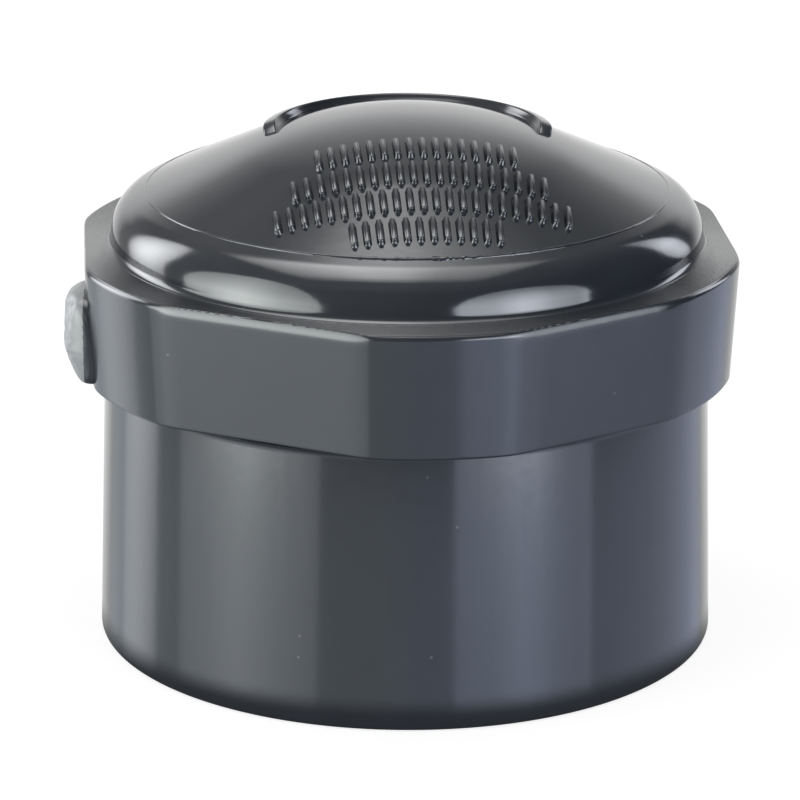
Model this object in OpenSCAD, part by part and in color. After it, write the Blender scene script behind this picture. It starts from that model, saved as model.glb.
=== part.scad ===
// Threaded pipe cap, moulded in one piece: a round skirt with the pipe thread's bore,
// a six-sided wrench collar with turned corners, a domed closed end and the stub of its gate.
// Lengths are in millimetres. The axis is Z, the open rim lies at Z = 0 and the dome is on top.
// The front is -Y, and the stub stands on the flat that looks to -X.

/* [Skirt] */
// Outside diameter of the skirt at its open rim
skirt_d = 52; // [51:0.5:54]
// Height of the skirt, from the rim to the collar's underside
skirt_h = 23.3; // [20:0.1:34]
// Draft of the skirt's wall in degrees, which narrows it towards the collar
skirt_draft = 1.7; // [0:0.1:2.5]
// Rounding of the rim's outer edge
rim_round = 0.4; // [0.2:0.1:1.2]

/* [Wrench collar] */
// Height of the collar, from its underside to the ledge round the dome
collar_h = 10.5; // [9:0.1:14]
// Distance across two opposite flats, at the ledge
across_flats = 53.8; // [53:0.1:55]
// Turned diameter over the soft corners, at the ledge
corner_d = 56; // [55.5:0.1:58]
// Draft of the collar's faces in degrees, which narrows them towards the rim
collar_draft = 3.1; // [0:0.1:4]
// Turn of the front corner away from -Y in degrees, towards +X
collar_turn = 4.7; // [0:0.1:10]
// Rounding of the collar's top edge along its flats
edge_round = 0.8; // [0.3:0.1:1]
// Rounding of the collar's top edge at its turned corners
corner_round = 0.4; // [0.4:0.1:1]
// Fillet between the skirt and the collar's underside
under_round = 0.8; // [0.2:0.1:1]

/* [Dome] */
// Diameter of the dome where it leaves the ledge
dome_d = 49.2; // [48:0.1:50]
// Height of the upright wall at the dome's foot
foot_h = 0.66; // [0.2:0.02:3]
// Radius of the shoulder between the foot and the sloping band
shoulder_r = 3.4; // [2:0.1:5]
// Slope of the band between the shoulder and the crown, in degrees
band_slope = 24; // [18:0.5:28]
// Radius of the round crown
crown_r = 34; // [26:0.5:38]

/* [Bore and cavity] */
// Diameter of the bore, which is that of the pipe thread's roots at the mouth
bore_d = 42; // [41:0.1:43]
// Depth of the bore from the rim
bore_depth = 23; // [18:0.1:28]
// Length and width of the lead-in at the mouth
lead_in = 1.2; // [0.4:0.1:1.6]
// Diameter of the cavity behind the bore
cavity_d = 37.2; // [34:0.1:39]
// Rounding where the cavity's wall meets its end
cavity_round = 5; // [2:0.1:7]
// Radius of the cavity's round end
cavity_end_r = 30; // [26:0.5:50]
// Thickness of the crown on the axis
crown_wall = 6; // [4.5:0.1:7]

/* [Gate stub] */
// How far the stub's outermost point lies from the cap's axis
gate_reach = 28.2; // [27.6:0.1:29]
// Width of the stub from front to back
gate_w = 7; // [5:0.1:9]
// How far the stub's middle lies in front of the axis
gate_front = 6; // [4:0.1:7]
// Height of the stub
gate_h = 8.5; // [6:0.1:9]
// Bevel of its front and back edges
gate_bevel = 1.2; // [0.4:0.1:1.6]

/* [Hidden] */
$fn = 120;

flats = 6;
// Solids that join reach this far into each other
overlap = 0.5;
// Cutting tools reach this far past what they cut
past = 5;

ledge_z = skirt_h + collar_h;

// The shoulder's centre, and its two tangent points with the foot and the sloping band
shoulder_x = dome_d / 2 - shoulder_r;
shoulder_z = ledge_z + foot_h;
band_low = [shoulder_x + shoulder_r * sin(band_slope), shoulder_z + shoulder_r * cos(band_slope)];
// The crown meets the band where its own slope is the same
crown_edge_x = crown_r * sin(band_slope);
crown_edge_z = band_low.y + (band_low.x - crown_edge_x) * tan(band_slope);
top_z = crown_edge_z + crown_r * (1 - cos(band_slope));

// The cavity's end is a cap of a sphere that touches the rounding in its corner
cavity_top = top_z - crown_wall;
cavity_end_z = cavity_top - cavity_end_r;
cavity_corner_x = cavity_d / 2 - cavity_round;
cavity_corner_z = cavity_end_z + sqrt(pow(cavity_end_r - cavity_round, 2) - pow(cavity_corner_x, 2));
cavity_touch_x = cavity_corner_x * cavity_end_r / (cavity_end_r - cavity_round);

// Radius of the skirt at a height
function skirt_r(z) = skirt_d / 2 - z * tan(skirt_draft);

// Where a collar face that stands at x on the ledge lies at a height
function face_x(x, z) = x - (ledge_z - z) * tan(collar_draft);

// Direction of a drafted face's outward normal, as a point of the section
function lean(draft, r) = [r * cos(draft), -r * sin(draft)];

// What a rounding of radius r takes off the corner between a drafted face and a flat end above it.
// c is the rounding's centre, and toward is the direction from c to its touching point on the face.
module corner_waste(c, r, toward) {
    difference() {
        polygon([c, c + 2 * toward, c + 2 * [r, r], c + [0, 2 * r]]);
        translate(c) circle(r);
    }
}

// What a rounding of radius r takes off the top edge of a collar face that stands at x on the ledge
module top_edge_waste(x, r) {
    z = ledge_z - r;
    corner_waste([face_x(x, z) - r / cos(collar_draft), z], r, lean(collar_draft, r));
}

// The skirt, with its rim's outer edge rounded
module skirt() {
    x = skirt_r(rim_round) - rim_round / cos(skirt_draft);
    rotate_extrude() difference() {
        polygon([[0, 0], [skirt_r(0), 0], [skirt_r(skirt_h + overlap), skirt_h + overlap],
                 [0, skirt_h + overlap]]);
        mirror([0, 1]) corner_waste([x, -rim_round], rim_round, lean(skirt_draft, rim_round));
    }
}

// The fillet in the corner under the collar
module under_fillet() {
    z = skirt_h - under_round;
    x = skirt_r(z) + under_round / cos(skirt_draft);
    touch = [x, z] - under_round * [cos(skirt_draft), sin(skirt_draft)];
    rotate_extrude() difference() {
        polygon([touch, [x, z], [x, skirt_h], [x, skirt_h + overlap], touch + [-1, skirt_h + overlap - touch.y],
                 touch - [1, 0]]);
        translate([x, z]) circle(under_round);
    }
}

// The collar as turned, before its flats
module collar_blank() {
    rotate_extrude() difference() {
        polygon([[0, skirt_h], [face_x(corner_d / 2, skirt_h), skirt_h], [corner_d / 2, ledge_z],
                 [0, ledge_z]]);
        top_edge_waste(corner_d / 2, corner_round);
    }
}

// What one flat takes off the blank, with the rounding of its top edge
module flat_waste() {
    x = across_flats / 2;
    low = skirt_h - past;
    high = ledge_z + past;
    rotate([90, 0, 0]) linear_extrude(corner_d, center = true) {
        polygon([[face_x(x, low), low], [x + past, low], [x + past, high], [face_x(x, high), high]]);
        top_edge_waste(x, edge_round);
    }
}

module collar() {
    difference() {
        collar_blank();
        for (i = [0 : flats - 1])
            rotate(-90 + collar_turn + (i + 0.5) * 360 / flats) flat_waste();
    }
}

// The domed end: foot, shoulder, sloping band and crown
module dome() {
    rotate_extrude() {
        translate([0, ledge_z - overlap]) square([dome_d / 2, foot_h + overlap]);
        translate([shoulder_x, shoulder_z]) circle(shoulder_r);
        polygon([[0, shoulder_z], [shoulder_x, shoulder_z], band_low, [crown_edge_x, crown_edge_z],
                 [0, crown_edge_z]]);
        intersection() {
            translate([0, top_z - crown_r]) circle(crown_r);
            translate([0, crown_edge_z]) square([crown_edge_x, crown_r]);
        }
    }
}

// The stub that is left where the gate was broken off
module gate_stub() {
    low = skirt_h;
    high = low + gate_h;
    inner = face_x(across_flats / 2, skirt_h) - 1.5;
    side = [[inner, low], [gate_reach - 1.9, low], [gate_reach - 0.8, low + 0.2 * gate_h],
            [gate_reach, low + 0.42 * gate_h], [gate_reach - 0.3, low + 0.66 * gate_h],
            [gate_reach - 0.5, high - 0.9], [gate_reach - 1.3, high - 0.1], [inner, high]];
    // x stays between the flat and the reach, y runs from front to back
    plan = [[inner, -gate_w / 2], [gate_reach - gate_bevel, -gate_w / 2],
            [gate_reach, gate_bevel - gate_w / 2], [gate_reach, gate_w / 2 - gate_bevel],
            [gate_reach - gate_bevel, gate_w / 2], [inner, gate_w / 2]];
    translate([0, -gate_front, 0]) mirror([1, 0, 0]) intersection() {
        rotate([90, 0, 0]) linear_extrude(gate_w, center = true) polygon(side);
        translate([0, 0, low]) linear_extrude(gate_h) polygon(plan);
    }
}

// The bore with its lead-in, and the rounded cavity behind it
module bore_and_cavity() {
    translate([0, 0, -past]) cylinder(h = bore_depth + past, d = bore_d);
    translate([0, 0, -past]) cylinder(h = lead_in + past, r1 = bore_d / 2 + lead_in + past, r2 = bore_d / 2);
    rotate_extrude() {
        translate([0, bore_depth - past]) square([cavity_d / 2, cavity_corner_z - bore_depth + past]);
        translate([cavity_corner_x, cavity_corner_z]) circle(cavity_round);
        intersection() {
            translate([0, cavity_end_z]) circle(cavity_end_r);
            translate([0, cavity_corner_z]) square([cavity_touch_x, cavity_end_r]);
        }
    }
}

module cap() {
    color([0.17, 0.19, 0.21]) difference() {
        union() {
            skirt();
            under_fillet();
            collar();
            dome();
            gate_stub();
        }
        bore_and_cavity();
    }
}

cap();
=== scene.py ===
import math

import bpy
import numpy as np
from mathutils import Matrix, Vector, noise


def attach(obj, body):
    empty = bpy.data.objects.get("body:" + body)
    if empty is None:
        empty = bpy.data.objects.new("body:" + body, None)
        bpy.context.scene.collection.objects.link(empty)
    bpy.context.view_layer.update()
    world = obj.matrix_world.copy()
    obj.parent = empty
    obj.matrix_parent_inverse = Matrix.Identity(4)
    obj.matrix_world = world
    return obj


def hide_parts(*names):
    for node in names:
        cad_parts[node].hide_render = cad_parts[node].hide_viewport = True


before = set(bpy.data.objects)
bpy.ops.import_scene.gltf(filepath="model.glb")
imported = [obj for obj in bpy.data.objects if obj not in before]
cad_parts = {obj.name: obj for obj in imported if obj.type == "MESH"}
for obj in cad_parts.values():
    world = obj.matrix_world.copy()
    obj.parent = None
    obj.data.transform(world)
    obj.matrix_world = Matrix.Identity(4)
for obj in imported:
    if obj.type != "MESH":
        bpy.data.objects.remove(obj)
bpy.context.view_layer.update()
print("frame loaded:", sorted(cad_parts))

mm = 0.001
body = "root"


# objects and meshes

def addObject(name, data):
    made = bpy.data.objects.new(name, data)
    bpy.context.scene.collection.objects.link(made)
    return made


def evaluatedMesh(holder, name):
    # the holder's mesh with its modifier in it; the holder goes
    mesh = bpy.data.meshes.new_from_object(holder.evaluated_get(bpy.context.evaluated_depsgraph_get()))
    mesh.name = name
    bpy.data.objects.remove(holder)
    return mesh


def addPiece(piece):
    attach(piece, body)
    places = np.array([vertex.co for vertex in piece.data.vertices]) / mm
    low, high = places.min(0).round(2), places.max(0).round(2)
    print(f"{piece.name}: {len(piece.data.polygons)} faces, {low} to {high} mm")
    return piece


def lineMesh(name, points, closed=False, **attributes):
    mesh = bpy.data.meshes.new(name)
    edges = [(i, i + 1) for i in range(len(points) - 1)]
    if closed:
        edges.append((len(points) - 1, 0))
    mesh.from_pydata([tuple(p) for p in points], edges, [])
    for label, values in attributes.items():
        values = np.array(values, np.float32)
        kind = "FLOAT" if values.ndim == 1 else "FLOAT_VECTOR"
        layer = mesh.attributes.new(label, kind, "POINT")
        layer.data.foreach_set("value" if kind == "FLOAT" else "vector", values.ravel())
    return mesh


def loftMesh(name, vertices, count, flip=False):
    # joins rings of count points each and closes both ends
    faces = []
    for start in range(0, len(vertices) - count, count):
        for i in range(count):
            a, b = start + i, start + (i + 1) % count
            faces.append((a, a + count, b + count, b) if flip else (a, b, b + count, a + count))
    first, last = tuple(range(count)), tuple(range(len(vertices) - count, len(vertices)))
    faces += [first, last[::-1]] if flip else [first[::-1], last]
    mesh = bpy.data.meshes.new(name)
    mesh.from_pydata(vertices, [], faces)
    return mesh


# node trees

socketKinds = {int: "Int", float: "Float", tuple: "Color", bpy.types.Object: "Object"}


def nodeMaker(tree):
    def make(kind, inputs=None, **settings):
        node = tree.nodes.new(kind)
        for key, value in settings.items():
            setattr(node, key, value)
        for key, value in (inputs or {}).items():
            if isinstance(value, bpy.types.NodeSocket):
                tree.links.new(value, node.inputs[key])
            else:
                node.inputs[key].default_value = value
        return node
    return make


def mathMaker(tree):
    make = nodeMaker(tree)

    def calc(operation, *values):
        return make("ShaderNodeMath", dict(enumerate(values)), operation=operation).outputs[0]
    return calc


def useNodes(owner):
    owner.use_nodes = True
    tree = owner.node_tree
    return tree, nodeMaker(tree), mathMaker(tree)


def splitVector(make, vector):
    return make("ShaderNodeSeparateXYZ", {0: vector}).outputs


def joinVector(make, **parts):
    inputs = {"xyz".index(axis): value for axis, value in parts.items()}
    return make("ShaderNodeCombineXYZ", inputs).outputs[0]


def combine(make, operation, first, second):
    return make("ShaderNodeVectorMath", {0: first, 1: second}, operation=operation).outputs[0]


def scaleVector(make, vector, scale):
    return make("ShaderNodeVectorMath", {0: vector, 3: scale}, operation="SCALE").outputs[0]


def noiseNode(make, vector, scale, detail):
    return make("ShaderNodeTexNoise", {"Vector": vector, "Scale": scale, "Detail": detail}).outputs[0]


def ease(make, value, start, end, low=0.0, high=1.0):
    # a soft step from low to high while the value goes from start to end
    return make("ShaderNodeMapRange", {
        "Value": value, "From Min": start, "From Max": end, "To Min": low, "To Max": high},
        interpolation_type="SMOOTHSTEP").outputs[0]


def mixColour(make, share, first, second):
    return make("ShaderNodeMix", {0: share, 6: first, 7: second}, data_type="RGBA").outputs[2]


def squares(calc, a, b):
    return calc("ADD", calc("MULTIPLY", a, a), calc("MULTIPLY", b, b))


def turnFromFront(calc, x, y):
    return calc("ARCTAN2", x, calc("MULTIPLY", y, -1.0))


def bell(calc, away, width=None):
    # 1 in the middle, and less the further away
    square = calc("MULTIPLY", away, away)
    fall = -1.0 if width is None else calc("MULTIPLY", width, -1.0)
    return calc("POWER", 2.718, calc("MULTIPLY", square, fall))


def newTree(name, kind, inputs, outputs):
    # an input is given with its first value, or with its kind of socket where it has none
    tree = bpy.data.node_groups.new(name, kind)
    for label, value in inputs.items():
        socketKind = value if isinstance(value, str) else socketKinds[type(value)]
        socketType = "NodeSocket" + socketKind
        socket = tree.interface.new_socket(name=label, in_out="INPUT", socket_type=socketType)
        if not isinstance(value, (str, bpy.types.Object)):
            socket.default_value = value
    for label, socketKind in outputs.items():
        tree.interface.new_socket(name=label, in_out="OUTPUT", socket_type="NodeSocket" + socketKind)
    source = tree.nodes.new("NodeGroupInput").outputs
    sink = tree.nodes.new("NodeGroupOutput").inputs
    return tree, source, sink


def linkSinks(tree, sink, **sockets):
    for label, socket in sockets.items():
        tree.links.new(socket, sink[label])
    return tree


def geometryTree(name, shape, inputs):
    # the input named by shape takes the holder's own mesh
    allInputs = {shape: "Geometry", **inputs, "Material": "Material"}
    tree, source, sink = newTree(name, "GeometryNodeTree", allInputs, {"Geometry": "Geometry"})
    make = nodeMaker(tree)

    def finishWith(geometry):
        real = make("GeometryNodeRealizeInstances", {"Geometry": geometry}).outputs[0]
        smooth = make("GeometryNodeSetShadeSmooth", {"Geometry": real}).outputs[0]
        painted = make("GeometryNodeSetMaterial", {"Geometry": smooth, "Material": source["Material"]})
        tree.links.new(painted.outputs[0], sink[0])
        return tree
    return source, make, mathMaker(tree), finishWith


def bakeTree(name, tree, inputs, material, baseMesh):
    holder = addObject(name + "Holder", baseMesh)
    modifier = holder.modifiers.new(name, "NODES")
    modifier.node_group = tree
    values = {**inputs, "Material": material}
    for item in tree.interface.items_tree:
        if item.in_out == "INPUT" and item.name in values:
            modifier[item.identifier] = values[item.name]
    return addObject(name, evaluatedMesh(holder, name))


def named(make, name, kind="FLOAT"):
    return make("GeometryNodeInputNamedAttribute", {"Name": name}, data_type=kind).outputs[0]


# plastic

plasticLook = dict(
    colour=(0.024, 0.029, 0.037, 1), skirtRough=0.12, mottle=0.16, streaks=0.05, dust=0.5, ior=1.52,
    roughSteps=((23.2, 0.35, 0.14), (33.55, 0.1, 0.16), (33.8, 0.15, 0.1)),
    peelDepth=0.03, nickSlope=0.34, nickShadeColour=(0.006, 0.007, 0.009, 1),
    ringPitch=0.14, ringSlope=0.55, ringLow=33.5, ringHigh=33.68,
)
nickPlace = {"Radius": 21.75 * mm, "Width": 0.3 * mm, "Turn": math.radians(5), "Spread": math.radians(20),
             "Floor": 37.5 * mm}
skinPattern = dict(
    mottleScale=260.0, drawnScale=1500.0, drawnStretch=0.05, peelScale=850.0,
    moteScale=480.0, moteShare=0.8, moteCore=0.02, moteEdge=0.085, moteRough=0.4,
    moteColour=(0.17, 0.175, 0.18, 1),
)


def mouldedSkinGroup(s):
    # colour variation, draw marks, orange peel and dust of a moulded surface
    tree, source, sink = newTree("mouldedSkin", "ShaderNodeTree", {
        "Vector": "Vector", "Colour": (0.02, 0.02, 0.02, 1), "Mottle": 0.1, "Streaks": 0.05, "Dust": 0.5},
        {"Colour": "Color", "Roughness": "Float", "Height": "Float"})
    make, calc = nodeMaker(tree), mathMaker(tree)
    vector = source["Vector"]
    cloud = noiseNode(make, vector, s["mottleScale"], 3.0)
    mottle = calc("MULTIPLY", calc("SUBTRACT", cloud, 0.5), source["Mottle"])
    tinted = scaleVector(make, source["Colour"], calc("ADD", calc("MULTIPLY", mottle, 2.0), 1.0))
    upright = make("ShaderNodeMapping", {"Vector": vector, "Scale": (1.0, 1.0, s["drawnStretch"])}).outputs[0]
    drawn = calc("SUBTRACT", noiseNode(make, upright, s["drawnScale"], 2.0), 0.5)
    # motes lie where a random cell's centre comes close to the surface
    cells = make("ShaderNodeTexVoronoi", {"Vector": vector, "Scale": s["moteScale"]})
    chance = make("ShaderNodeSeparateColor", {0: cells.outputs["Color"]}).outputs[0]
    picked = calc("GREATER_THAN", chance, s["moteShare"])
    near = calc("SUBTRACT", 1.0, ease(make, cells.outputs["Distance"], s["moteCore"], s["moteEdge"]))
    mote = calc("MULTIPLY", calc("MULTIPLY", picked, near), source["Dust"])
    dusty = mixColour(make, mote, tinted, s["moteColour"])
    rough = calc("ADD", calc("MULTIPLY", drawn, source["Streaks"]), calc("MULTIPLY", mote, s["moteRough"]))
    peel = calc("ADD", noiseNode(make, vector, s["peelScale"], 2.0), calc("MULTIPLY", drawn, 0.35))
    height = calc("ADD", peel, calc("MULTIPLY", mote, 1.5))
    return linkSinks(tree, sink, Colour=dusty, Roughness=rough, Height=height)


def lineNicksGroup():
    # small nicks beside the witness line, at the front of the dome, with a mask for their painted shade and
    # their slant
    tree, source, sink = newTree("lineNicks", "ShaderNodeTree", {
        "Vector": "Vector", "Radius": 0.0215, "Width": 0.0003, "Turn": 0.1, "Spread": 0.3, "Floor": 0.038},
        {"Mask": "Float", "Slant": "Float"})
    make, calc = nodeMaker(tree), mathMaker(tree)
    x, y, z = splitVector(make, source["Vector"])
    radius = calc("SQRT", squares(calc, x, y))
    angle = turnFromFront(calc, x, y)
    off = calc("DIVIDE", calc("SUBTRACT", radius, source["Radius"]), source["Width"])
    away = calc("DIVIDE", calc("SUBTRACT", angle, source["Turn"]), source["Spread"])
    unrolled = joinVector(make, x=calc("MULTIPLY", angle, source["Radius"]), y=calc("MULTIPLY", off, 0.0004))
    patches = noiseNode(make, unrolled, 640.0, 2.0)
    near = calc("MULTIPLY", squares(calc, off, away), 0.22)
    mask = ease(make, calc("SUBTRACT", patches, near), 0.46, 0.52)
    mask = calc("MULTIPLY", mask, calc("GREATER_THAN", z, source["Floor"]))
    return linkSinks(tree, sink, Mask=mask, Slant=calc("MULTIPLY", mask, off))


def turnedRingsGroup():
    # fine rings that the turning of the mould left on a level face between two heights
    tree, source, sink = newTree("turnedRings", "ShaderNodeTree", {
        "Vector": "Vector", "Pitch": 0.0001, "Low": 0.0334, "High": 0.0337}, {"Rings": "Float"})
    make, calc = nodeMaker(tree), mathMaker(tree)
    x, y, z = splitVector(make, source["Vector"])
    radius = calc("SQRT", squares(calc, x, y))
    wave = calc("SINE", calc("DIVIDE", calc("MULTIPLY", radius, math.tau), source["Pitch"]))
    level = calc("MULTIPLY", calc("GREATER_THAN", z, source["Low"]), calc("LESS_THAN", z, source["High"]))
    return linkSinks(tree, sink, Rings=calc("MULTIPLY", wave, level))


mouldedSkin = mouldedSkinGroup(skinPattern)
lineNicks = lineNicksGroup()
turnedRings = turnedRingsGroup()


def makePlastic(name, look, glossy=None, bump=0.12, nicks=None):
    material = bpy.data.materials.new(name)
    tree, make, calc = useNodes(material)
    shader = tree.nodes["Principled BSDF"]
    shader.inputs["IOR"].default_value = look["ior"]
    vector = make("ShaderNodeTexCoord").outputs["Object"]
    skin = make("ShaderNodeGroup", node_tree=mouldedSkin)
    tree.links.new(vector, skin.inputs["Vector"])
    for label, key in (("Colour", "colour"), ("Mottle", "mottle"), ("Streaks", "streaks"), ("Dust", "dust")):
        skin.inputs[label].default_value = look[key]
    if glossy is None:
        # the collar is satin, its ledge is duller, the dome is glossy and the skirt lies between
        height = splitVector(make, vector)[2]
        base, below = look["skirtRough"], look["skirtRough"]
        for level, blend, above in look["roughSteps"]:
            step = ease(make, height, (level - blend) * mm, (level + blend) * mm, 0.0, above - below)
            base, below = calc("ADD", base, step), above
    else:
        base = glossy
    tree.links.new(calc("ADD", base, skin.outputs["Roughness"]), shader.inputs["Roughness"])
    colour, surface = skin.outputs["Colour"], skin.outputs["Height"]
    if nicks:
        marks = make("ShaderNodeGroup", node_tree=lineNicks)
        tree.links.new(vector, marks.inputs["Vector"])
        for label, value in nicks.items():
            marks.inputs[label].default_value = value
        # the nicks' pits are darkened with painted shade
        colour = mixColour(make, marks.outputs[0], colour, look["nickShadeColour"])
        slanted = calc("MULTIPLY", marks.outputs["Slant"], look["nickSlope"] * nicks["Width"])
        rings = make("ShaderNodeGroup", {
            "Vector": vector, "Pitch": look["ringPitch"] * mm, "Low": look["ringLow"] * mm,
            "High": look["ringHigh"] * mm}, node_tree=turnedRings)
        ringDepth = look["ringSlope"] * look["ringPitch"] * mm / math.tau
        turnedHeight = calc("MULTIPLY", rings.outputs[0], ringDepth)
    tree.links.new(colour, shader.inputs["Base Color"])
    relief = make("ShaderNodeBump", {"Strength": bump, "Distance": look["peelDepth"] * mm, "Height": surface})
    if nicks:
        relief = make("ShaderNodeBump", {
            "Strength": 1.0, "Distance": 1.0, "Height": calc("ADD", slanted, turnedHeight),
            "Normal": relief.outputs[0]})
    tree.links.new(relief.outputs[0], shader.inputs["Normal"])
    return material


capPlastic = makePlastic("capPlastic", plasticLook, nicks=nickPlace)
threadPlastic = makePlastic("threadPlastic", plasticLook, glossy=0.28)
reliefPlastic = makePlastic("reliefPlastic", plasticLook, glossy=0.14)
# the broken face gets a paler colour
brokenLook = {**plasticLook, "colour": (0.33, 0.345, 0.355, 1), "mottle": 0.22}
brokenPlastic = makePlastic("brokenPlastic", brokenLook, glossy=0.4, bump=0.4)
stubPlastic = makePlastic("stubPlastic", plasticLook, glossy=0.3)
print("materials made")


# the cap itself

capSize = dict(
    skirtRadius=26.0, skirtHeight=23.3, skirtDraft=1.7, rimRound=0.4,
    collarHeight=10.3, cornerRadius=28.0, flatInset=1.1, collarDraft=3.1, turn=4.7, flats=6,
    deepFlat=5, deeper=0.45,
    flatRound=(0.22, 1.05), cornerRound=(0.45, 0.45), lowRound=0.22, underRound=0.6, edgeBlend=0.65,
    domeRadius=24.6, footHeight=0.86, footDraft=2.5, footFillet=0.65,
    shoulderRadius=3.4, bandSlope=24.0, crownRadius=34.0,
    boreRadius=21.0, boreDepth=23.0, boreTaper=1 / 32, leadIn=1.2,
    cavityRadius=18.6, cavityRound=5.0, cavityEndRadius=30.0, crownWall=6.0, softCorner=0.3,
    columns=384,
)
ledge = capSize["skirtHeight"] + capSize["collarHeight"]
slope = math.radians(capSize["bandSlope"])
shoulder = (capSize["domeRadius"] - capSize["shoulderRadius"], ledge + capSize["footHeight"])
bandLow = (shoulder[0] + capSize["shoulderRadius"] * math.sin(slope),
           shoulder[1] + capSize["shoulderRadius"] * math.cos(slope))
crownEdgeX = capSize["crownRadius"] * math.sin(slope)
crownEdge = (crownEdgeX, bandLow[1] + (bandLow[0] - crownEdgeX) * math.tan(slope))
topHeight = crownEdge[1] + capSize["crownRadius"] * (1 - math.cos(slope))


def boreAt(z):
    return capSize["boreRadius"] - (z - capSize["leadIn"]) * capSize["boreTaper"]


def domeAt(r):
    # height and slope of the dome's surface at a distance from the axis
    if r <= crownEdge[0]:
        lean = math.asin(r / capSize["crownRadius"])
        return topHeight - capSize["crownRadius"] * (1 - math.cos(lean)), lean
    if r <= bandLow[0]:
        return bandLow[1] + (bandLow[0] - r) * math.tan(slope), slope
    lean = math.asin((r - shoulder[0]) / capSize["shoulderRadius"])
    return shoulder[1] + capSize["shoulderRadius"] * math.cos(lean), lean


def arcPoints(centre, radius, start, end, steps):
    angles = np.radians(np.linspace(start, end, steps + 1))
    return [np.array([centre[0] + radius * math.cos(t), centre[1] + radius * math.sin(t)]) for t in angles]


def roundCorner(before, corner, after, radius, steps):
    a, c, b = (np.array(p, float) for p in (before, corner, after))
    u, v = (a - c) / np.linalg.norm(a - c), (b - c) / np.linalg.norm(b - c)
    half = math.acos(max(-1.0, min(1.0, float(u @ v)))) / 2
    centre = c + (u + v) / np.linalg.norm(u + v) * radius / math.sin(half)
    start, end = c + u * radius / math.tan(half) - centre, c + v * radius / math.tan(half) - centre
    first = math.atan2(start[1], start[0])
    sweep = (math.atan2(end[1], end[0]) - first + math.pi) % math.tau - math.pi
    return arcPoints(centre, radius, math.degrees(first), math.degrees(first + sweep), steps)


def betweenPoints(a, b, longest=2.0, support=0.14):
    # points close to both ends of a straight wall keep its shading flat
    length = float(np.linalg.norm(b - a))
    if length < 3 * support:
        return []
    count = max(1, math.ceil((length - 2 * support) / longest))
    return [a + (b - a) * m / length for m in np.linspace(support, length - support, count + 1)]


def collarReach(s, z, inset, rounding):
    # where a collar face lies at a height, with an inset and the width and height of its top edge's rounding
    wide, high = rounding
    share = min(1.0, max(0.0, 1 - (ledge - z) / high))
    face = s["cornerRadius"] - inset - (ledge - z) * math.tan(math.radians(s["collarDraft"]))
    return face - wide * (1 - math.sqrt(1 - share ** 2))


def capRuns(s, low, flatEnd):
    # runs of points up the wall, from the cavity round the rim to the crown, with the flats' share in each
    cavityEnd = topHeight - s["crownWall"] - s["cavityEndRadius"]
    cornerX = s["cavityRadius"] - s["cavityRound"]
    cornerZ = cavityEnd + math.sqrt((s["cavityEndRadius"] - s["cavityRound"]) ** 2 - cornerX ** 2)
    touch = math.degrees(math.atan2(cornerZ - cavityEnd, cornerX))
    deep = s["boreDepth"]
    corners = (
        (s["cavityRadius"], cornerZ), (s["cavityRadius"], deep), (boreAt(deep), deep),
        (s["boreRadius"], s["leadIn"]), (s["boreRadius"] + s["leadIn"], 0), (s["skirtRadius"], 0),
        (s["skirtRadius"] - low * math.tan(math.radians(s["skirtDraft"])), low),
        (s["cornerRadius"] - s["collarHeight"] * math.tan(math.radians(s["collarDraft"])), low),
        (collarReach(s, ledge - s["flatRound"][1], 0, s["cornerRound"]), ledge - s["flatRound"][1]))
    soft = s["softCorner"]
    # radius, steps and the flats' share, for each corner but the first and the last
    finish = ((soft, 4, 0), (soft, 4, 0), (soft, 3, 0), (soft, 4, 0), (s["rimRound"], 6, 0),
              (s["underRound"], 6, 0), (s["lowRound"], 5, 1))
    runs = [(arcPoints((0, cavityEnd), s["cavityEndRadius"], 90, touch, 18), 0),
            (arcPoints((cornerX, cornerZ), s["cavityRound"], touch, 0, 10), 0)]
    for i, (radius, steps, cut) in enumerate(finish):
        runs.append((roundCorner(*corners[i:i + 3], radius, steps), cut))
    # rows round the top edge are close enough for both roundings
    turns = np.linspace(0, math.pi / 2, 11)
    rows = sorted({round(ledge - high * (1 - math.sin(t)), 4)
                   for _, high in (s["flatRound"], s["cornerRound"]) for t in turns})
    runs.append(([np.array([collarReach(s, z, 0, s["cornerRound"]), z]) for z in rows], 1))
    # on the ledge, rows further out than the flats fall together at their edge
    runs.append(([np.array([flatEnd + out, ledge]) for out in (0.45, 0.2, -0.02, -0.3)], 1))
    lean, wide = math.radians(s["footDraft"]), s["shoulderRadius"]
    footTop = (shoulder[0] + wide * math.cos(lean), shoulder[1] + wide * math.sin(lean))
    foot = ((flatEnd - 0.3, ledge), (footTop[0] + (footTop[1] - ledge) * math.tan(lean), ledge), footTop)
    runs.append((roundCorner(*foot, s["footFillet"], 9), 0))
    crownCentre = (0, topHeight - s["crownRadius"])
    return runs + [(arcPoints(shoulder, s["shoulderRadius"], s["footDraft"], 90 - s["bandSlope"], 24), 0),
                   (arcPoints(crownCentre, s["crownRadius"], 90 - s["bandSlope"], 90, 40), 0)]


def capProfile(s):
    # points up the wall, the flats' share in each and how far the flats reach there
    low = s["skirtHeight"]
    points, share = [], []
    for run, cut in capRuns(s, low, collarReach(s, ledge, s["flatInset"], s["flatRound"])):
        if points:
            last, lastCut = points[-1], share[-1]
            gap = float(np.linalg.norm(run[0] - last))
            for p in betweenPoints(last, run[0]):
                points.append(p)
                share.append(lastCut + (cut - lastCut) * float(np.linalg.norm(p - last)) / gap)
            if gap < 1e-6:
                run = run[1:]
        points += run
        share += [cut] * len(run)
    points[0][0] = points[-1][0] = 0.0
    reach = []
    for (x, z), cut in zip(points, share):
        if cut and z < low + s["lowRound"]:
            reach.append(x - s["flatInset"])
        else:
            reach.append(collarReach(s, min(z, ledge), s["flatInset"], s["flatRound"]) if cut else x)
    return [(x * mm, 0, z * mm) for x, z in points], share, [r * mm for r in reach]


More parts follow.
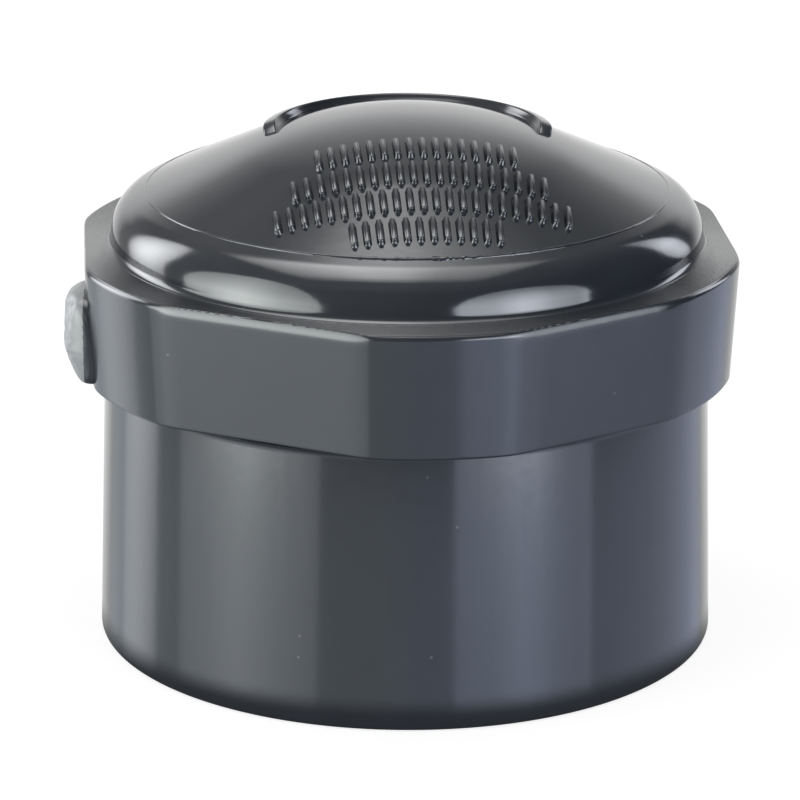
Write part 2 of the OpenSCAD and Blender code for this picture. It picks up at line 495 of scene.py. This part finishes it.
def capShapeTree(inputs):
    source, make, calc, finishWith = geometryTree("capShape", "Profile", inputs)
    profile = source["Profile"]
    rows = make("GeometryNodeAttributeDomainSize", {0: profile}).outputs["Point Count"]
    columns = calc("ADD", source["Columns"], 1.0)
    grid = make("GeometryNodeMeshGrid", {"Vertices X": columns, "Vertices Y": rows})
    index = make("GeometryNodeInputIndex").outputs[0]
    row = make("FunctionNodeIntegerMath", {0: index, 1: rows}, operation="MODULO").outputs[0]
    column = make("FunctionNodeIntegerMath", {0: index, 1: rows}, operation="DIVIDE_FLOOR").outputs[0]

    def inRow(value, kind="FLOAT"):
        return make("GeometryNodeSampleIndex", {"Geometry": profile, "Value": value, "Index": row},
                    data_type=kind).outputs[0]

    radius, _, height = splitVector(make, inRow(make("GeometryNodeInputPosition").outputs[0], "FLOAT_VECTOR"))
    # the share that the flats have in a row's shape is 0 where the cap is round
    share, reach = inRow(named(make, "flatShare")), inRow(named(make, "flatReach"))
    angle = calc("MULTIPLY", calc("DIVIDE", column, source["Columns"]), math.tau)
    perFlat = calc("DIVIDE", source["Flats"], math.tau)
    flatTurns = calc("MULTIPLY", calc("SUBTRACT", angle, source["Turn"]), perFlat)
    offFlat = calc("MULTIPLY", calc("SUBTRACT", calc("FRACT", flatTurns), 0.5), math.tau)
    offFlat = calc("DIVIDE", offFlat, source["Flats"])
    # the flat to the left of the front corner was cut a little deeper than the others
    deep = calc("COMPARE", calc("FLOOR", flatTurns), source["Deep Flat"], 0.5)
    flatReach = calc("SUBTRACT", reach, calc("MULTIPLY", deep, source["Deeper"]))
    cut = calc("SMOOTH_MIN", radius, calc("DIVIDE", flatReach, calc("COSINE", offFlat)), source["Edge Blend"])
    outward = calc("ADD", radius, calc("MULTIPLY", share, calc("SUBTRACT", cut, radius)))
    sideways = calc("MULTIPLY", outward, calc("SINE", angle))
    ahead = calc("MULTIPLY", outward, calc("COSINE", angle))
    moved = joinVector(make, x=sideways, y=calc("MULTIPLY", ahead, -1.0), z=height)
    bent = make("GeometryNodeSetPosition", {"Geometry": grid.outputs[0], "Position": moved})
    joined = make("GeometryNodeMergeByDistance", {"Geometry": bent.outputs[0], "Distance": 1e-6})
    return finishWith(joined.outputs[0])


profilePoints, flatShare, flatReach = capProfile(capSize)
capInputs = {
    "Columns": capSize["columns"], "Flats": capSize["flats"], "Edge Blend": capSize["edgeBlend"] * mm,
    "Turn": math.radians(capSize["turn"]), "Deep Flat": capSize["deepFlat"], "Deeper": capSize["deeper"] * mm}
cap = addPiece(bakeTree("cap_shell", capShapeTree(capInputs), capInputs, capPlastic,
                        lineMesh("capProfile", profilePoints, flatShare=flatShare, flatReach=flatReach)))
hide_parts("cap")


# sweeps: thread ridge, witness line and arc on the crown

def addSweep(name, curveNodes, inputs, material, points):
    # curveNodes returns the curve, its up direction and its scale along the way; points are the section's
    source, make, calc, finishWith = geometryTree(name, "Section", inputs)
    curve, up, scale = curveNodes(source, make, calc)
    turned = make("GeometryNodeSetCurveNormal", {"Curve": curve, "Normal": up}, mode="FREE").outputs[0]
    section = make("GeometryNodeMeshToCurve", {"Mesh": source["Section"]}).outputs[0]
    swept = make("GeometryNodeCurveToMesh", {
        "Curve": turned, "Profile Curve": section, "Scale": scale, "Fill Caps": True})
    tree = finishWith(swept.outputs[0])
    return addPiece(bakeTree(name, tree, inputs, material, lineMesh(name + "_section", points, closed=True)))


def mirrored(half, width=1.0, middle=()):
    # a closed section from one half of it, given by heights and distances from its middle
    points = [(h, -w * width) for h, w in half] + list(middle) + [(h, w * width) for h, w in half[::-1]]
    return [(h * mm, w * mm, 0) for h, w in points]


def levelDirection(make, share):
    # the level direction away from the axis, or towards it where the share is -1
    place = make("GeometryNodeInputPosition").outputs[0]
    return make("ShaderNodeVectorMath", {0: combine(make, "MULTIPLY", place, (share, share, 0.0))},
                operation="NORMALIZE").outputs[0]


def lifted(make, curve, height):
    raised = joinVector(make, z=height)
    return make("GeometryNodeTransform", {"Geometry": curve, "Translation": raised}).outputs[0]


threadSize = dict(pitch=25.4 / 11.5, turns=9.15, start=1.75, sunk=0.1, height=1.7, crest=0.1, base=1.05,
                  flankSteps=(0, 0.06, 0.35, 0.65, 0.94, 1), crestRise=0.02, pointsPerTurn=120, fade=0.045,
                  endScale=0.02)


def threadCurve(source, make, calc):
    spiral = make("GeometryNodeCurveSpiral", {
        "Resolution": source["Points"], "Rotations": source["Turns"], "Start Radius": source["Start Radius"],
        "End Radius": source["End Radius"], "Height": calc("MULTIPLY", source["Turns"], source["Pitch"]),
        "Reverse": True})
    along = make("GeometryNodeSplineParameter").outputs["Factor"]
    nearEnd = calc("MINIMUM", along, calc("SUBTRACT", 1.0, along))
    grow = ease(make, nearEnd, 0.0, source["Fade"], source["End Scale"], 1.0)
    return lifted(make, spiral.outputs[0], source["Start Height"]), levelDirection(make, -1.0), grow


def threadSection(s):
    sunk, base, high = s["sunk"], s["base"], s["height"] + s["sunk"]
    half = [(0.0, base)]
    half += [(sunk + (high - sunk) * t, base + (s["crest"] - base) * t) for t in s["flankSteps"]]
    return mirrored(half, middle=[(high + s["crestRise"], 0)])


threadRise = threadSize["pitch"] * threadSize["turns"]
threadInputs = {
    "Points": threadSize["pointsPerTurn"], "Turns": threadSize["turns"], "Pitch": threadSize["pitch"] * mm,
    "Start Radius": (boreAt(threadSize["start"]) + threadSize["sunk"]) * mm,
    "End Radius": (boreAt(threadSize["start"] + threadRise) + threadSize["sunk"]) * mm,
    "Start Height": threadSize["start"] * mm, "Fade": threadSize["fade"], "End Scale": threadSize["endScale"]}
addSweep("thread_ridge", threadCurve, threadInputs, threadPlastic, threadSection(threadSize))

lineSize = dict(radius=21.7, points=1500, width=0.4, height=0.13, sunk=0.06, fade=0.2, back=0.35,
                least=0.55, swell=0.8, swellScale=420.0,
                burrTurn=5.0, burrSpread=22.0, burrSize=0.4, burrScale=1500.0, burrLow=0.52, burrHigh=0.68)


def lineCurve(source, make, calc):
    ring = make("GeometryNodeCurvePrimitiveCircle", {
        "Resolution": source["Points"], "Radius": source["Radius"]})
    place = make("GeometryNodeInputPosition").outputs[0]
    fine = noiseNode(make, place, lineSize["burrScale"], 2.0)
    slow = noiseNode(make, place, lineSize["swellScale"], 1.0)
    # the line is ragged at the front, where the halves of the mould meet badly, and finer further back
    x, y, _ = splitVector(make, place)
    away = calc("SUBTRACT", turnFromFront(calc, x, y), source["Burr Turn"])
    away = calc("DIVIDE", away, source["Burr Spread"])
    peaks = make("ShaderNodeMapRange", {
        "Value": fine, "From Min": lineSize["burrLow"], "From Max": lineSize["burrHigh"]}).outputs[0]
    burr = calc("MULTIPLY", calc("MULTIPLY", peaks, bell(calc, away)), source["Burr Size"])
    near = calc("MULTIPLY", calc("SUBTRACT", 1.0, source["Back"]), bell(calc, away, source["Fade"]))
    kept = calc("ADD", source["Back"], near)
    swell = calc("ADD", lineSize["least"], calc("MULTIPLY", slow, lineSize["swell"]))
    scale = calc("ADD", calc("MULTIPLY", swell, kept), burr)
    # the dome's outward direction at a place on one of its circles
    sideways = scaleVector(make, levelDirection(make, 1.0), calc("SINE", source["Lean"]))
    up = combine(make, "ADD", sideways, joinVector(make, z=calc("COSINE", source["Lean"])))
    return lifted(make, ring.outputs[0], source["Height"]), up, scale


lineHeight, lineLean = domeAt(lineSize["radius"])
lineTop = lineSize["height"]
lineHalf = ((-lineSize["sunk"], 0.5), (0.0, 0.46), (0.55 * lineTop, 0.3), (lineTop, 0.1))
lineInputs = {
    "Points": lineSize["points"], "Radius": lineSize["radius"] * mm, "Height": lineHeight * mm,
    "Lean": lineLean, "Fade": lineSize["fade"], "Back": lineSize["back"], "Burr Size": lineSize["burrSize"],
    "Burr Turn": math.radians(lineSize["burrTurn"]), "Burr Spread": math.radians(lineSize["burrSpread"])}
addSweep("witness_line", lineCurve, lineInputs, reliefPlastic, mirrored(lineHalf, lineSize["width"]))

arcSize = dict(radius=11.4, halfTurn=90.0, width=1.2, height=0.68, sunk=0.25, ramp=2.2, buried=0.08,
               steps=120)


def arcSection(s):
    # flat top, steep sides and small roundings
    top = s["height"]
    half = ((-s["sunk"], 0.56), (0.05, 0.56), (0.14, 0.505), (top - 0.2, 0.46), (top - 0.08, 0.435),
            (top - 0.02, 0.38), (top, 0.3))
    return mirrored(half, s["width"], [(top, 0.0)])


def arcPath(s):
    # the bead sinks into the dome over its last stretch
    points, ups = [], []
    height, lean = domeAt(s["radius"])
    rampTurn = math.degrees(s["ramp"] / s["radius"])
    for turn in np.linspace(-s["halfTurn"], s["halfTurn"], s["steps"] + 1):
        share = min(1.0, (s["halfTurn"] - abs(turn)) / rampTurn)
        sink = (s["height"] + s["buried"]) * (1 - math.sin(share * math.pi / 2)) ** 1.3
        azimuth = math.radians(turn)
        out = (math.sin(azimuth), math.cos(azimuth))
        up = (out[0] * math.sin(lean), out[1] * math.sin(lean), math.cos(lean))
        points.append(((out[0] * s["radius"] - up[0] * sink) * mm, (out[1] * s["radius"] - up[1] * sink) * mm,
                       (height - up[2] * sink) * mm))
        ups.append(up)
    return lineMesh("arcPath", points, up=ups)


def arcCurve(source, make, calc):
    path = make("GeometryNodeObjectInfo", {"Object": source["Path"]}).outputs["Geometry"]
    curve = make("GeometryNodeMeshToCurve", {"Mesh": path}).outputs[0]
    return curve, named(make, "up", "FLOAT_VECTOR"), 1.0


arcInputs = {"Path": addObject("arcPath", arcPath(arcSize))}
addSweep("crown_arc", arcCurve, arcInputs, reliefPlastic, arcSection(arcSize))
bpy.data.objects.remove(arcInputs["Path"])


# rows of plain bars on the crown

barSize = dict(length=2.75, width=0.5, height=0.46, sunk=0.2, pitch=1.05, capSteps=6, turn=4.7,
               rows=((-8.5, 7.9), (-12.0, 10.0), (-15.2, 12.0), (-18.6, 6.0)))


def barMesh(s):
    # rings of a round-ended outline, from the sunk foot up to the softly rounded top
    top = s["height"]
    rings = ((0.1, -s["sunk"]), (0.08, 0.02), (0.02, 0.1), (-0.02, top - 0.14), (-0.06, top - 0.04),
             (-0.13, top))
    half = s["length"] / 2 - s["width"] / 2
    outline = []
    for side in (1, -1):
        for i in range(s["capSteps"] + 1):
            t = math.pi * i / s["capSteps"]
            outline.append((math.cos(t) * side, math.sin(t) * side, half * side))
    vertices = []
    for grow, z in rings:
        r = s["width"] / 2 + grow
        vertices += [((x * r) * mm, (y * r + middle) * mm, z * mm) for x, y, middle in outline]
    return loftMesh("bar", vertices, len(outline))


def barPoints(s):
    # rows stand square to the front corner
    points, ups = [], []
    turn = math.radians(s["turn"])
    for along, halfRow in s["rows"]:
        count = int(2 * halfRow / s["pitch"]) + 1
        for i in range(count):
            across = (i - (count - 1) / 2) * s["pitch"]
            x = across * math.cos(turn) - along * math.sin(turn)
            y = across * math.sin(turn) + along * math.cos(turn)
            r = math.hypot(x, y)
            height, lean = domeAt(r)
            points.append((x * mm, y * mm, height * mm))
            ups.append((x / r * math.sin(lean), y / r * math.sin(lean), math.cos(lean)))
    return lineMesh("barPoints", points, up=ups)


def barTree(inputs):
    source, make, _, finishWith = geometryTree("crownBars", "Points", inputs)
    bar = make("GeometryNodeObjectInfo", {"Object": source["Bar"]}).outputs["Geometry"]
    start = make("FunctionNodeEulerToRotation", {0: joinVector(make, z=source["Turn"])}).outputs[0]
    lean = make("FunctionNodeAlignRotationToVector", {
        "Rotation": start, "Vector": named(make, "up", "FLOAT_VECTOR")}, axis="Z").outputs[0]
    placed = make("GeometryNodeInstanceOnPoints", {
        "Points": source["Points"], "Instance": bar, "Rotation": lean})
    return finishWith(placed.outputs[0])


barInputs = {"Bar": addObject("bar", barMesh(barSize)), "Turn": math.radians(barSize["turn"])}
addPiece(bakeTree("crown_bars", barTree(barInputs), barInputs, reliefPlastic, barPoints(barSize)))
bpy.data.objects.remove(barInputs["Bar"])


# what the gate left

gateSize = dict(
    front=6.3, width=7.8, base=24.5, low=23.3, high=31.15, stations=13, endReach=0.48, endHeight=0.72,
    outline=((26.6, 23.3), (27.1, 23.65), (27.55, 24.6), (28.0, 25.7), (28.24, 26.7), (28.15, 27.4),
             (28.12, 28.9), (28.1, 29.9), (27.8, 30.6), (27.2, 30.95), (26.5, 31.1)),
    seed=Vector((3.1, 7.7, 1.3)), tear=0.15, tearScale=0.9, torn=26.8, tornBlend=0.8,
    dent=(-8.3, 29.8), dentSize=0.9, dentDepth=0.6, pale=26.35)


def gateMesh(s):
    # rings of the stub's side outline from front to back, drawn in near both ends
    outline = [(s["base"], s["low"]), *s["outline"], (s["base"], s["high"])]
    middle = (s["low"] + s["high"]) / 2
    vertices = []
    for t in np.linspace(-1, 1, s["stations"]):
        soft = math.sqrt(max(0.0, 1 - abs(t) ** 2.4))
        out, tall = (s[key] + (1 - s[key]) * soft for key in ("endReach", "endHeight"))
        for x, z in outline:
            reach = s["base"] + (x - s["base"]) * out
            height = middle + (z - middle) * tall + 0.4 * t * (1 - soft)
            vertices.append(Vector((-reach, -s["front"] + t * s["width"] / 2, height)) * mm)
    return loftMesh("gateRings", vertices, len(outline), flip=True)


def gatePiece(s):
    holder = addObject("gateHolder", gateMesh(s))
    smooth = holder.modifiers.new("smooth", "SUBSURF")
    smooth.levels = smooth.render_levels = 3
    mesh = evaluatedMesh(holder, "gate_stub")
    for vertex in mesh.vertices:
        place = vertex.co / mm
        # only the broken face is uneven
        out = min(1.0, max(0.0, (-place.x - s["torn"]) / s["tornBlend"]))
        tear = abs(noise.fractal(place * s["tearScale"] + s["seed"], 1.0, 2.0, 3)) * s["tear"]
        away = math.hypot(place.y - s["dent"][0], place.z - s["dent"][1]) / s["dentSize"]
        vertex.co.x += (tear + s["dentDepth"] * math.exp(-away ** 2)) * out * mm
    mesh.materials.append(stubPlastic)
    mesh.materials.append(brokenPlastic)
    for polygon in mesh.polygons:
        polygon.use_smooth = True
        if polygon.center.x < -s["pale"] * mm:
            polygon.material_index = 1
    return addObject("gate_stub", mesh)


addPiece(gatePiece(gateSize))


# camera

cameraSize = dict(place=(-0.52, -315.5, 122.74), down=18.15, roll=0.27, lens=176.85, sensor=36.0, clip=0.01)
camera = addObject("camera", bpy.data.cameras.new("camera"))
camera.data.lens = cameraSize["lens"]
camera.data.sensor_width = cameraSize["sensor"]
camera.data.clip_start = cameraSize["clip"]
camera.matrix_world = (Matrix.Translation(Vector(cameraSize["place"]) * mm)
                       @ Matrix.Rotation(math.radians(90 - cameraSize["down"]), 4, "X")
                       @ Matrix.Rotation(math.radians(cameraSize["roll"]), 4, "Z"))
bpy.context.scene.camera = camera


# studio: the floor, the softboxes that show in the gloss, and the lamps that light the colour

studio = dict(distance=1.0, lampDistance=1.06, aim=0.02, lampPower=1.5, worldLight=0.55, tableBlend=0.01,
              floorSize=3.0, floorGlow=0.785, floorColour=(0.4, 0.4, 0.4, 1), bounceColour=(0.8, 0.8, 0.8, 1),
              shadeRadius=26.6, shadeBlend=2.6, shadeShift=5.2, shadeColour=0.25)

# light of each softbox by elevation and across its shape from -1 to 1; the shape is round above and below its
# widest level, fills a share of the lamp's width round a middle, and bends sideways towards its ends
softboxes = dict(
    frontLeft=dict(
        azimuth=-62, half=31, low=-44, widest=-15, top=37, soft=0.1, middle=0, girth=1, bend=0,
        tint=(0.97, 1.02, 1.0), tableTint=(1, 1, 1.03),
        rise=((-44, 0.9), (-30, 1.1), (-24, 1.4), (-18, 2.0), (-14.8, 2.5), (-14.4, 10.6), (-8, 11.7),
              (0, 10.3), (10, 8.2), (20, 6.6), (28, 5.2), (37, 4)),
        across=((-1, 0.35), (-0.54, 0.6), (-0.2, 0.92), (-0.02, 1), (0.14, 0.9), (0.43, 0.66), (0.74, 0.52),
                (1, 0.46))),
    frontRight=dict(
        azimuth=45, half=28, low=-44, widest=-15, top=31, soft=0.1, middle=0, girth=1, bend=0,
        tint=(0.93, 0.98, 1.08), tableTint=(0.85, 0.955, 1.12),
        rise=((-44, 0.9), (-24, 1.25), (-18, 1.7), (-14.8, 2.1), (-14.4, 10.2), (-8, 11.2), (0, 10.2),
              (10, 8.0), (18, 5.4), (24, 3.6), (31, 2)),
        across=((-1, 0.6), (-0.43, 0.66), (-0.26, 0.83), (-0.06, 1), (0.2, 0.85), (0.36, 0.6), (0.76, 0.4),
                (0.91, 0.55), (1, 0.5))),
    backLeft=dict(
        azimuth=-121, half=21, low=-52, widest=15, top=43, soft=0.45, middle=0.17, girth=0.76, bend=0.5,
        tint=(0.98, 1.0, 1.03), tableTint=(1, 1, 1),
        rise=((-52, 0.4), (-32, 0.8), (-24, 0.95), (-15.8, 1.6), (-15.4, 3.4), (-8, 4.6), (0, 7.2), (8, 9.1),
              (16, 9.9), (24, 9.2), (28, 8.3), (34, 6.4), (43, 4.5)),
        across=((-1, 0.1), (-0.8, 0.28), (-0.47, 0.65), (-0.16, 0.92), (0.16, 1), (0.47, 0.88), (0.78, 0.66),
                (1, 0.35))),
    backRight=dict(
        azimuth=129, half=14, low=-16, widest=12, top=44, soft=0.4, middle=-0.36, girth=0.6, bend=-2.0,
        tint=(0.95, 0.98, 1.07), tableTint=(1, 1, 1),
        rise=((-16, 0.3), (-12, 0.8), (-8, 1.6), (-4, 2.8), (0, 3.6), (8, 4.6), (16, 5.8), (20, 6.1),
              (24, 5.6), (28, 4.6), (32, 3.6), (36, 2.3), (44, 0.8)),
        across=((-1, 0.5), (-0.4, 0.9), (0, 1), (0.4, 0.9), (1, 0.5))),
)
# the lamps light the colour and throw the shadow; the gloss shows the softboxes instead
lamps = dict(
    keyLeft=dict(azimuth=-62, height=0.35, size=(0.9, 0.8), light=1.15, tint=(1, 1, 0.98)),
    keyRight=dict(azimuth=46, height=0.3, size=(0.8, 0.7), light=1.25, tint=(0.95, 0.98, 1)),
    backLeftFill=dict(azimuth=-120, height=0.3, size=(0.5, 0.6), light=1.2, tint=(1, 1, 1)),
    backRightFill=dict(azimuth=125, height=0.3, size=(0.5, 0.6), light=1.0, tint=(1, 1, 1)),
)


def turned(azimuth, height, distance):
    # a lamp that stands upright at an azimuth and faces the axis
    a = math.radians(azimuth)
    back = Vector((math.sin(a), -math.cos(a), 0))
    side = Vector((math.cos(a), math.sin(a), 0))
    turn = Matrix((side, Vector((0, 0, 1)), back)).transposed().to_4x4()
    return Matrix.Translation(back * distance + Vector((0, 0, height))) @ turn


def areaLamp(name, width, height, tint):
    lamp = bpy.data.lights.new(name, "AREA")
    lamp.shape, lamp.size, lamp.size_y = "RECTANGLE", width, height
    lamp.color = tint
    return lamp


def rampNode(make, stops, low, high, factor):
    # a ramp over the stops, and the peak by which its values are divided
    node = make("ShaderNodeValToRGB", {0: factor})
    elements = node.color_ramp.elements
    peak = max(value for _, value in stops)
    marks = [((mark - low) / (high - low), value / peak) for mark, value in stops]
    while len(elements) < len(marks):
        elements.new(1.0)
    for element, (mark, value) in zip(elements, marks):
        element.position = mark
    for element, (mark, value) in zip(elements, marks):
        element.color = (value, value, value, 1)
    return node.outputs[0], peak


def addSoftbox(name, s):
    reach = studio["distance"]
    low, widest, high = (reach * math.tan(math.radians(s[key])) for key in ("low", "widest", "top"))
    levels = [(reach * math.tan(math.radians(e)), value) for e, value in s["rise"]]
    width = 2 * reach * math.tan(math.radians(s["half"]))
    lamp = areaLamp(name, width, high - low, s["tint"])
    tree, make, calc = useNodes(lamp)
    across, upward, _ = splitVector(make, make("ShaderNodeNewGeometry").outputs["Parametric"])
    riseLight, peak = rampNode(make, levels, low, high, upward)
    lamp.energy = peak * math.pi * width * (high - low)
    height = calc("ADD", low, calc("MULTIPLY", upward, high - low))
    off = calc("MAXIMUM", calc("DIVIDE", calc("SUBTRACT", height, widest), high - widest),
               calc("DIVIDE", calc("SUBTRACT", widest, height), widest - low))
    offSquare = calc("MULTIPLY", off, off)
    side = calc("DIVIDE", calc("SUBTRACT", calc("MULTIPLY", across, 2.0), 1.0 + s["middle"]), s["girth"])
    side = calc("ADD", side, calc("MULTIPLY", offSquare, s["bend"]))
    acrossLight, _ = rampNode(make, s["across"], -1, 1, calc("MULTIPLY_ADD", side, 0.5, 0.5))
    outline = calc("ADD", calc("MULTIPLY", side, side), offSquare)
    inside = ease(make, outline, 1.0, 1.0 - s["soft"])
    blend = studio["tableBlend"]
    onTable = make("ShaderNodeMapRange", {
        "Value": height, "From Min": widest + blend, "From Max": widest - blend}).outputs[0]
    colour = mixColour(make, onTable, (1, 1, 1, 1), (*s["tableTint"], 1))
    strength = calc("MULTIPLY", inside, calc("MULTIPLY", riseLight, acrossLight))
    linkSinks(tree, tree.nodes["Emission"].inputs, Color=colour, Strength=strength)
    holder = addObject(name, lamp)
    holder.matrix_world = turned(s["azimuth"], (low + high) / 2 + studio["aim"], reach)
    holder.visible_camera = holder.visible_diffuse = False


def addLamp(name, s):
    width, height = s["size"]
    lamp = areaLamp(name, width, height, s["tint"])
    lamp.energy = s["light"] * math.pi * width * height * studio["lampPower"]
    holder = addObject(name, lamp)
    holder.matrix_world = turned(s["azimuth"], s["height"], studio["lampDistance"])
    holder.visible_camera = holder.visible_glossy = False


for boxName, box in softboxes.items():
    addSoftbox(boxName, box)
for lampName, lampSize in lamps.items():
    addLamp(lampName, lampSize)

# what the gloss shows by direction: z is the sine of the elevation, and behind is 1 straight behind the cap
surroundings = dict(
    wallRise=((-1, 0.4), (-0.42, 0.55), (-0.3, 1.05), (0.05, 1.15), (0.25, 1.4), (0.4, 1.25), (0.65, 0.85),
              (1, 0.7)),
    wallEdge=(0.72, 0.92), wallNarrow=(0.2, 0.45, 0, 0.09),
    tableEdge=(-0.262, -0.272), tableNear=(-0.9, -0.35, 0.3, 0.94), tableBehind=(0.75, 0.95, 1.05, 0.6),
    tableLeft=(0.94, 1.03, 1.1, 1), tableRight=(0.87, 0.95, 1.22, 1), sideBlend=(-0.1, 0.1),
    tintBehind=(0.9, 0.75),
    room=0.26, roomUp=(0.5, 0.85, 1.0, 2.2), roomLeast=0.02, roomMost=0.55,
    overEdge=(0.2, 0.5), overSpan=0.8,
    overAcross=((-0.66, 0), (-0.57, 2.4), (-0.5, 3.5), (-0.4, 4.7), (-0.3, 6.0), (-0.15, 7.9), (-0.03, 7.2),
                (0.05, 5.2), (0.12, 3.6), (0.2, 3.1), (0.3, 2.5), (0.38, 1.5), (0.44, 0)),
    overAlong=((-0.52, 0), (-0.42, 0.3), (-0.34, 0.42), (-0.28, 0.66), (-0.15, 0.85), (0, 0.92), (0.2, 1),
               (0.34, 1), (0.42, 0.8), (0.5, 0.4), (0.58, 0.1), (0.7, 0)),
)


def studioWorld(s):
    world = bpy.data.worlds.new("studio")
    tree, make, calc = useNodes(world)
    x, y, z = splitVector(make, make("ShaderNodeTexCoord").outputs["Generated"])
    level = calc("SQRT", calc("MAXIMUM", calc("SUBTRACT", 1.0, calc("MULTIPLY", z, z)), 0.0001))
    behind = calc("DIVIDE", y, level)
    # white wall behind the cap, narrower further up, the table below, and a dim room in front
    rise, risePeak = rampNode(make, s["wallRise"], -1, 1, calc("MULTIPLY_ADD", z, 0.5, 0.5))
    wall = ease(make, calc("SUBTRACT", behind, ease(make, z, *s["wallNarrow"])), *s["wallEdge"])
    wall = calc("MULTIPLY", wall, calc("MULTIPLY", rise, risePeak))
    below = ease(make, z, *s["tableEdge"])
    table = calc("MULTIPLY", ease(make, z, *s["tableNear"]), ease(make, behind, *s["tableBehind"]))
    table = calc("MULTIPLY", below, table)
    room = calc("MAXIMUM", calc("SUBTRACT", s["room"], calc("MULTIPLY", x, s["room"])), s["roomLeast"])
    room = calc("MINIMUM", calc("MULTIPLY", room, ease(make, z, *s["roomUp"])), s["roomMost"])
    # a broad lamp hangs over the cap, brightest behind its left half
    up = calc("MAXIMUM", z, 0.2)
    span = s["overSpan"]
    toSide = calc("MULTIPLY_ADD", calc("DIVIDE", x, up), 0.5 / span, 0.5)
    lampAcross, peak = rampNode(make, s["overAcross"], -span, span, toSide)
    toBack = calc("MULTIPLY_ADD", calc("DIVIDE", y, up), 0.5 / span, 0.5)
    lampAlong, _ = rampNode(make, s["overAlong"], -span, span, toBack)
    overhead = calc("MULTIPLY", calc("MULTIPLY", lampAcross, lampAlong),
                    calc("MULTIPLY", peak, ease(make, z, *s["overEdge"])))
    seen = calc("ADD", calc("MAXIMUM", calc("MAXIMUM", wall, table), room), overhead)
    path = make("ShaderNodeLightPath").outputs
    reflected = calc("MAXIMUM", path["Is Glossy Ray"], path["Is Transmission Ray"])
    inGloss = calc("MULTIPLY", reflected, seen)
    elsewhere = calc("MULTIPLY", calc("SUBTRACT", 1.0, reflected),
                     calc("MAXIMUM", path["Is Camera Ray"], studio["worldLight"]))
    strength = calc("ADD", inGloss, elsewhere)
    # the table looks cooler to the right
    sides = mixColour(make, ease(make, x, *s["sideBlend"]), s["tableLeft"], s["tableRight"])
    onTable = calc("MULTIPLY", calc("MULTIPLY", reflected, below), ease(make, behind, *s["tintBehind"]))
    colour = mixColour(make, onTable, (1, 1, 1, 1), sides)
    linkSinks(tree, tree.nodes["Background"].inputs, Color=colour, Strength=strength)
    return world


bpy.context.scene.world = studioWorld(surroundings)
bpy.context.scene.view_settings.view_transform = "Standard"


def floorMaterial():
    # white to the camera with the cap's shadow on it, and pale to the light that it throws back
    material = bpy.data.materials.new("paleFloor")
    tree, make, _ = useNodes(material)
    tree.nodes.remove(tree.nodes["Principled BSDF"])
    lit = make("ShaderNodeBsdfDiffuse", {"Color": studio["floorColour"]}).outputs[0]
    glow = make("ShaderNodeEmission", {"Color": (1, 1, 1, 1), "Strength": studio["floorGlow"]}).outputs[0]
    toCamera = make("ShaderNodeLightPath").outputs["Is Camera Ray"]
    bounced = make("ShaderNodeBsdfDiffuse", {"Color": studio["bounceColour"]}).outputs[0]
    seen = make("ShaderNodeAddShader", {0: lit, 1: glow}).outputs[0]
    mixed = make("ShaderNodeMixShader", {0: toCamera, 1: bounced, 2: seen}).outputs[0]
    tree.links.new(mixed, tree.nodes["Material Output"].inputs["Surface"])
    return material


def shadeMaterial(inner, outer, shift):
    # painted shadow: dark in the middle, and gone at the outer radius
    material = bpy.data.materials.new("paintedShadowMaterial")
    tree, make, _ = useNodes(material)
    shader = tree.nodes["Principled BSDF"].inputs
    shader["Base Color"].default_value = (*[studio["shadeColour"]] * 3, 1)
    shader["Specular IOR Level"].default_value = 0
    centred = make("ShaderNodeMapping", {"Vector": make("ShaderNodeTexCoord").outputs["Object"],
                                         "Location": (0, shift, 0)}).outputs[0]
    fromMiddle = make("ShaderNodeVectorMath", {0: centred}, operation="LENGTH").outputs["Value"]
    tree.links.new(ease(make, fromMiddle, outer, inner), shader["Alpha"])
    return material


def addDisc(name, radius, height, material, forward=0.0, steps=96):
    turns = np.linspace(0, math.tau, steps + 1)[:-1]
    ring = [(radius * math.cos(t), radius * math.sin(t) - forward, height) for t in turns]
    mesh = bpy.data.meshes.new(name)
    mesh.from_pydata(ring, [], [tuple(range(steps))])
    mesh.materials.append(material)
    return addObject(name, mesh)


floor = addDisc("floor", studio["floorSize"], -0.02 * mm, floorMaterial())
floor.visible_glossy = False

# a dark disc that only the gloss sees is painted shadow: the skirt's foot shows it as the cap's own shadow on
# the table in front of it
shadeInner = (studio["shadeRadius"] - studio["shadeBlend"]) * mm
shadeOuter = (studio["shadeRadius"] + studio["shadeBlend"]) * mm
shadeShift = studio["shadeShift"] * mm
shade = addDisc("standingPlace", shadeOuter, -0.01 * mm, shadeMaterial(shadeInner, shadeOuter, shadeShift),
                forward=shadeShift)
shade.visible_camera = shade.visible_diffuse = shade.visible_shadow = shade.visible_transmission = False
print("studio made")

bpy.context.view_layer.update()
